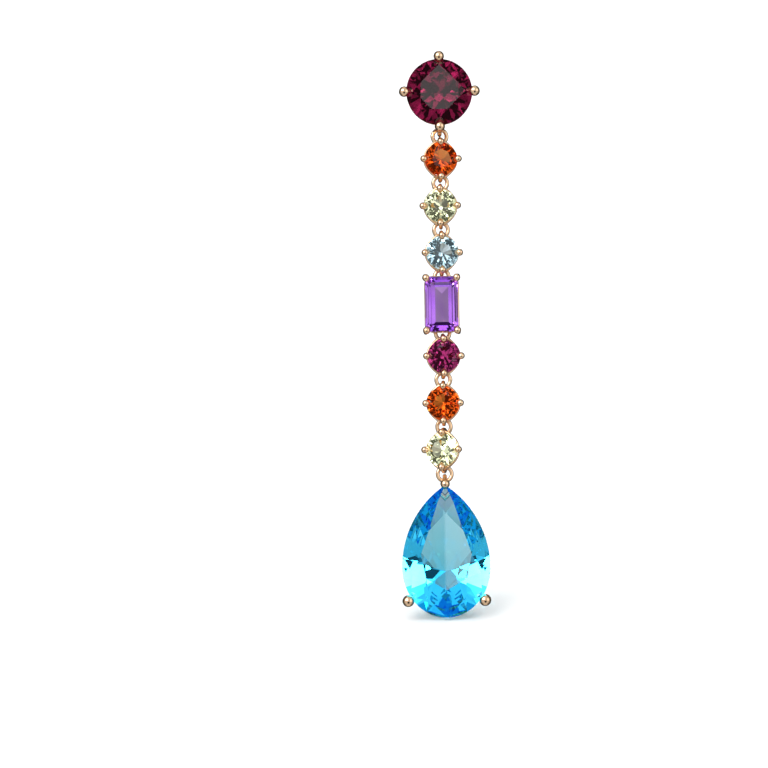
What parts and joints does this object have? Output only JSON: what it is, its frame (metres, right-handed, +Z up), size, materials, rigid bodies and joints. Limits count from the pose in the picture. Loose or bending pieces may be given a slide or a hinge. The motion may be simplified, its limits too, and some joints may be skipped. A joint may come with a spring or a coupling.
{
  "type": "drop earring",
  "caption": "Long drop earring for a pierced ear: a round stud stone over a chain of small claw-set coloured stones on jump rings, ending in a large pear-shaped drop.",
  "frame": {"origin": "on the axis of the ear post, at the flat back of the top setting where it lies against the ear", "axes": "+X to the right of someone who looks at the stones, +Y back along the ear post, +Z up, with the chain hanging along -Z"},
  "size_m": [0.008, 0.0146, 0.0516],
  "materials": {
    "rose_gold": "polished rose gold",
    "garnet": "brilliant cut, dark wine red",
    "citrine": "brilliant cut, deep orange",
    "peridot": "brilliant cut, pale lime green",
    "sky_topaz": "brilliant cut, pale sky blue",
    "amethyst": "step cut, violet",
    "rhodolite": "brilliant cut, magenta red",
    "swiss_topaz": "pear brilliant cut, bright blue"
  },
  "bodies": {
    "chain": {"garnet_stone": "garnet", "garnet_setting": "rose_gold", "citrine_upper_stone": "citrine", "citrine_upper_setting": "rose_gold", "peridot_upper_stone": "peridot", "peridot_upper_setting": "rose_gold", "sky_topaz_stone": "sky_topaz", "sky_topaz_setting": "rose_gold", "amethyst_stone": "amethyst", "amethyst_setting": "rose_gold", "rhodolite_stone": "rhodolite", "rhodolite_setting": "rose_gold", "citrine_lower_stone": "citrine", "citrine_lower_setting": "rose_gold", "peridot_lower_stone": "peridot", "peridot_lower_setting": "rose_gold", "jump_ring_1": "rose_gold", "jump_ring_2": "rose_gold", "jump_ring_3": "rose_gold", "jump_ring_4": "rose_gold", "jump_ring_5": "rose_gold", "jump_ring_6": "rose_gold", "jump_ring_7": "rose_gold"},
    "drop_ring": {"jump_ring_8": "rose_gold"},
    "pear_drop": {"pear_topaz_stone": "swiss_topaz", "pear_topaz_setting": "rose_gold"}
  },
  "joints": [
    {"name": "ring_swing", "type": "hinge", "parent": "chain", "child": "drop_ring", "pos_m": [0, -0.00156, -0.03447], "axis": [0, 1, 0], "range_deg": [-30, 30]},
    {"name": "pear_swing", "type": "hinge", "parent": "drop_ring", "child": "pear_drop", "pos_m": [0, -0.00156, -0.03534], "axis": [1, 0, 0], "range_deg": [-40, 60]}
  ]
}
